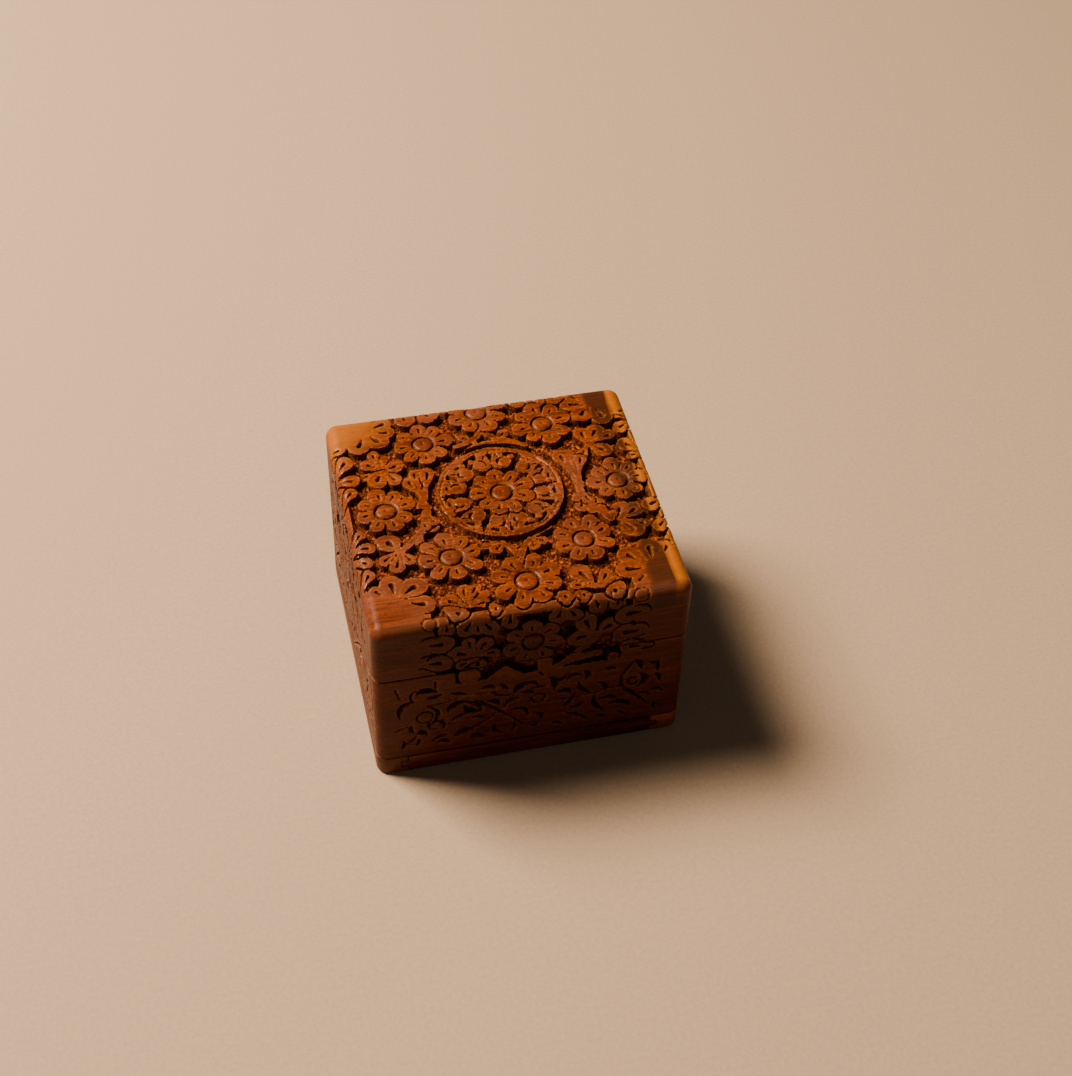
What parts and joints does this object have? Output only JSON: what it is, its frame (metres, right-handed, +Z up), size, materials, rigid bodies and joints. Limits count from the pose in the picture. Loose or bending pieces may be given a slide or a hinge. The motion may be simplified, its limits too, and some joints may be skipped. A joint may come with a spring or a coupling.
{
  "type": "wooden puzzle box",
  "caption": "Small carved wooden puzzle box with a hinged lid, a sliding front panel over a hidden keyhole and a sliding bottom board that hides the key.",
  "frame": {"origin": "centre of the footprint, on the surface the box stands on", "axes": "+X to the right seen from the front, -Y towards the front, +Z up"},
  "size_m": [0.102, 0.097, 0.07],
  "materials": {
    "carved_wood": "waxed, semi-gloss, worn pale on the raised edges",
    "heartwood": "waxed, semi-gloss",
    "pale_wood": "waxed, semi-gloss",
    "plain_wood": "planed, unfinished, matt",
    "brass": "brushed, aged",
    "brass_small": "turned, bright"
  },
  "bodies": {
    "base": {"back_plinth_rail": "pale_wood", "back_wall": "carved_wood", "escutcheon": "brass", "floor_board": "plain_wood", "inner_front": "plain_wood", "key_post": "brass_small", "left_hinge_base_leaf": "brass", "left_hinge_base_screw_1": "brass_small", "left_hinge_base_screw_2": "brass_small", "left_hinge_pin": "brass_small", "left_plinth_rail": "pale_wood", "left_wall": "carved_wood", "lock_case": "brass", "lock_cover": "brass", "lock_screw_1": "brass_small", "lock_screw_2": "brass_small", "lock_screw_3": "brass_small", "lock_screw_4": "brass_small", "panel_runner": "pale_wood", "panel_stop_peg": "pale_wood", "right_hinge_base_leaf": "brass", "right_hinge_base_screw_1": "brass_small", "right_hinge_base_screw_2": "brass_small", "right_hinge_pin": "brass_small", "right_plinth_rail": "pale_wood", "right_wall": "carved_wood", "slide_stop_peg": "pale_wood"},
    "lid": {"left_hinge_lid_leaf": "brass", "left_hinge_lid_screw_1": "brass_small", "left_hinge_lid_screw_2": "brass_small", "lid_back_rail": "carved_wood", "lid_front_rail": "carved_wood", "lid_left_rail": "carved_wood", "lid_right_rail": "carved_wood", "lid_top": "carved_wood", "link_plate": "brass", "link_screw_1": "brass_small", "link_screw_2": "brass_small", "right_hinge_lid_leaf": "brass", "right_hinge_lid_screw_1": "brass_small", "right_hinge_lid_screw_2": "brass_small"},
    "front_panel": {"front_panel": "carved_wood"},
    "bottom_slide": {"bottom_slide": "heartwood", "key": "brass"},
    "lock_bolt": {"lock_bolt": "brass"}
  },
  "joints": [
    {"name": "lid_hinge", "type": "hinge", "parent": "base", "child": "lid", "pos_m": [0, 0.0465, 0.0465], "axis": [-1, 0, 0], "range_deg": [0, 98]},
    {"name": "panel_slide", "type": "slide", "parent": "base", "child": "front_panel", "axis": [1, 0, 0], "range_m": [0, 0.034]},
    {"name": "bottom_board_slide", "type": "slide", "parent": "base", "child": "bottom_slide", "axis": [0, -1, 0], "range_m": [0, 0.032]},
    {"name": "bolt_slide", "type": "slide", "parent": "base", "child": "lock_bolt", "axis": [1, 0, 0], "range_m": [0, 0.005]}
  ]
}
